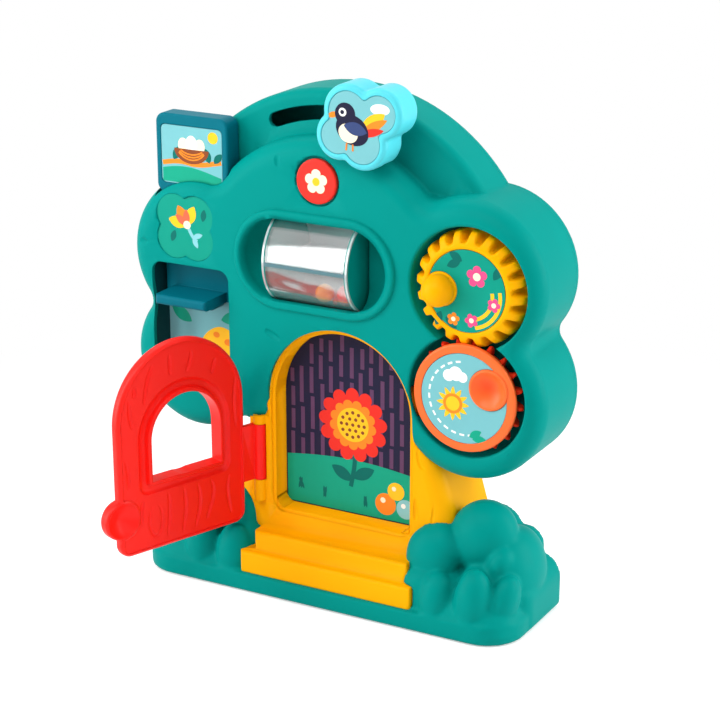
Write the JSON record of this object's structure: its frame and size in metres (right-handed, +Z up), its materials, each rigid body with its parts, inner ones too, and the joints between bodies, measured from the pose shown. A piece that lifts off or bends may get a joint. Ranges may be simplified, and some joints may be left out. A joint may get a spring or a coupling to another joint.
{
  "type": "activity tree toy",
  "caption": "Table-top activity toy shaped like a tree: opening arched door, sliding card, bird on a curved track, clear bead drum and two meshed gears on a steady bush base",
  "frame": {"origin": "On the ground, in the underside of the bottom plate, below the middle of the doorway", "axes": "+Z up, -Y out of the front with the doorway, +X to the right of someone who looks at the front"},
  "size_m": [0.283, 0.1587, 0.326],
  "materials": {
    "teal_plastic": "moulded, satin",
    "yellow_plastic": "moulded, satin",
    "red_plastic": "moulded, satin",
    "dark_teal_plastic": "moulded, satin",
    "orange_plastic": "moulded, satin",
    "red_orange_plastic": "moulded, satin",
    "pale_cyan_plastic": "moulded, satin",
    "pale_grey_plastic": "moulded, satin",
    "black_plastic": "moulded, hidden inside",
    "clear_plastic": "clear, glossy",
    "steel": "plain",
    "print_doorway": "printed label",
    "print_pale_blue": "printed label",
    "print_green": "printed label",
    "bead_orange": "glossy",
    "bead_yellow": "glossy",
    "bead_red": "glossy"
  },
  "bodies": {
    "tree": {"crown_shell": "teal_plastic", "crown_back_cover": "teal_plastic", "trunk_shell": "yellow_plastic", "trunk_back_cover": "yellow_plastic", "base_shell": "teal_plastic", "base_bottom_plate": "teal_plastic", "case_screws": "steel", "base_screws": "steel", "doorway_label": "print_doorway", "door_hinge_pin": "steel", "slider_guide": "black_plastic", "window_label": "print_green", "leaf_label": "print_green", "badge_disc": "red_plastic", "drum_axle": "dark_teal_plastic", "drum_backing": "pale_grey_plastic", "upper_gear_axle": "steel", "lower_gear_axle": "steel"},
    "door": {"door_panel": "red_plastic"},
    "slider": {"slider_card": "dark_teal_plastic", "slider_label": "print_pale_blue"},
    "bird": {"bird_body": "pale_cyan_plastic", "bird_label": "print_pale_blue", "bird_stem": "pale_cyan_plastic", "bird_retainer": "black_plastic"},
    "drum": {"drum_half_upper": "clear_plastic", "drum_half_lower": "clear_plastic", "drum_end_left": "teal_plastic", "drum_end_right": "teal_plastic"},
    "beads": {"bead_orange": "bead_orange", "bead_yellow": "bead_yellow", "bead_red": "bead_red", "bead_small_yellow": "bead_yellow", "bead_small_red": "bead_red"},
    "gear_upper": {"upper_gear": "yellow_plastic", "upper_gear_label": "print_green"},
    "gear_lower": {"lower_gear_wheel": "red_orange_plastic", "lower_gear_disc": "orange_plastic", "lower_gear_label": "print_pale_blue"}
  },
  "joints": [
    {"name": "door_hinge", "type": "hinge", "parent": "tree", "child": "door", "pos_m": [-0.058, -0.0115, 0.0857], "axis": [0, 0, 1], "range_deg": [-5, 109]},
    {"name": "slider_slide", "type": "slide", "parent": "tree", "child": "slider", "axis": [0, 0, 1], "range_m": [-0.044, 0]},
    {"name": "bird_track", "type": "hinge", "parent": "tree", "child": "bird", "pos_m": [-0.0145, 0, 0.198], "axis": [0, 1, 0], "range_deg": [-39, 5]},
    {"name": "drum_spin", "type": "hinge", "parent": "tree", "child": "drum", "pos_m": [-0.0175, 0.0046, 0.212], "axis": [1, 0, 0], "continuous": true},
    {"name": "beads_roll", "type": "hinge", "parent": "tree", "child": "beads", "pos_m": [-0.0175, 0.0046, 0.212], "axis": [1, 0, 0], "range_deg": [-25, 25]},
    {"name": "gear_upper_spin", "type": "hinge", "parent": "tree", "child": "gear_upper", "pos_m": [0.0852, 0, 0.2115], "axis": [0, 1, 0], "continuous": true},
    {"name": "gear_lower_spin", "type": "hinge", "parent": "tree", "child": "gear_lower", "pos_m": [0.0852, 0, 0.1465], "axis": [0, 1, 0], "continuous": true}
  ],
  "couplings": [
    {"joint": "gear_lower_spin", "follows": "gear_upper_spin", "ratio": -1}
  ]
}
